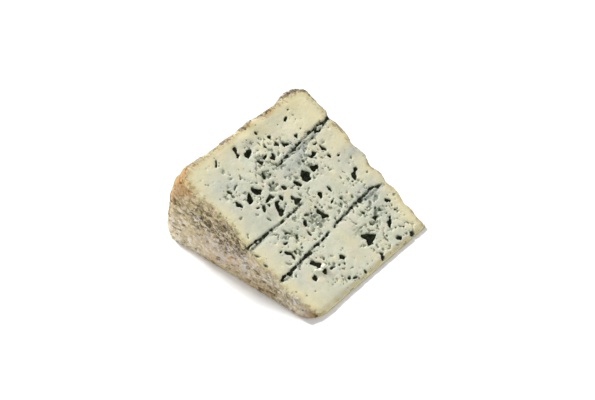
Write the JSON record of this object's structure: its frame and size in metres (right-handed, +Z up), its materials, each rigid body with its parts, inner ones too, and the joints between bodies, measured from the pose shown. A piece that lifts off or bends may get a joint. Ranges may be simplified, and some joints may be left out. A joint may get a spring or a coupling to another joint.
{
  "type": "cheese wedge",
  "caption": "Wedge of blue-veined cheese with a natural rind, lying on a cut face, with mould pockets and piercing channels across the cut.",
  "frame": {"origin": "centre of the footprint, on the surface that the wedge lies on", "axes": "+Z up; +X from the wheel's rim towards the tip; +Y along the wheel's axis, from the front flat rind face to the back one"},
  "size_m": [0.0964, 0.09, 0.0477],
  "materials": {
    "cheese": "soft moist paste with mould pockets, dry brown natural rind"
  },
  "bodies": {
    "root": {"cheese_wedge": "cheese"}
  },
  "joints": []
}
